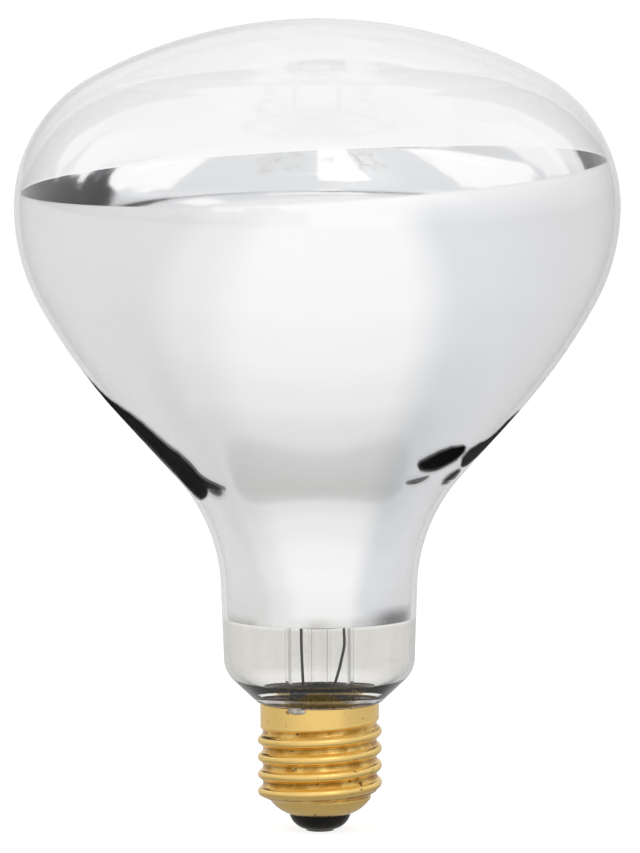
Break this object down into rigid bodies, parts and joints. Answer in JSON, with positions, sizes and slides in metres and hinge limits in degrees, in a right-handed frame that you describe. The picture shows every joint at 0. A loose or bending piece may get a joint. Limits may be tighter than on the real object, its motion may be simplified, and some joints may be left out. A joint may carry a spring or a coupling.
{
  "type": "infrared heat lamp bulb",
  "caption": "Blown reflector heat lamp with a clear domed front, mirrored bowl, ring filament and screw cap.",
  "frame": {"origin": "on the lamp's axis at the face of the centre contact, the lowest point with the cap down", "axes": "+Z along the lamp's axis from the cap to the clear front; +X to the right as the picture shows it, +Y away from the viewer"},
  "size_m": [0.127, 0.127, 0.1711],
  "materials": {
    "clear_glass": "clear blown glass, polished",
    "mirror_film": "vacuum deposited aluminium mirror",
    "stem_glass": "clear lead glass tube and rod",
    "nickel": "drawn nickel wire, satin",
    "lead_wire": "dark oxidised lead wire",
    "tungsten": "coiled tungsten, dull grey",
    "molybdenum": "drawn molybdenum wire",
    "cement": "baked brown basing cement",
    "brass": "rolled brass with light tarnish in the grooves",
    "black_glass": "black insulating glass, glossy",
    "dull_contact": "dark oxidised contact plate",
    "solder": "tin solder, satin"
  },
  "bodies": {
    "root": {"glass_envelope": "clear_glass", "reflector_coating": "mirror_film", "stem_flare": "stem_glass", "exhaust_tube": "stem_glass", "support_rod": "stem_glass", "inner_lead_left": "nickel", "inner_lead_right": "nickel", "side_lead": "lead_wire", "centre_lead": "lead_wire", "filament": "tungsten", "support_wire_1": "molybdenum", "support_wire_2": "molybdenum", "support_wire_3": "molybdenum", "support_wire_4": "molybdenum", "support_wire_5": "molybdenum", "support_wire_6": "molybdenum", "basing_cement": "cement", "cap_shell": "brass", "cap_insulator": "black_glass", "centre_contact": "dull_contact", "centre_solder": "solder", "side_solder": "solder"}
  },
  "joints": []
}
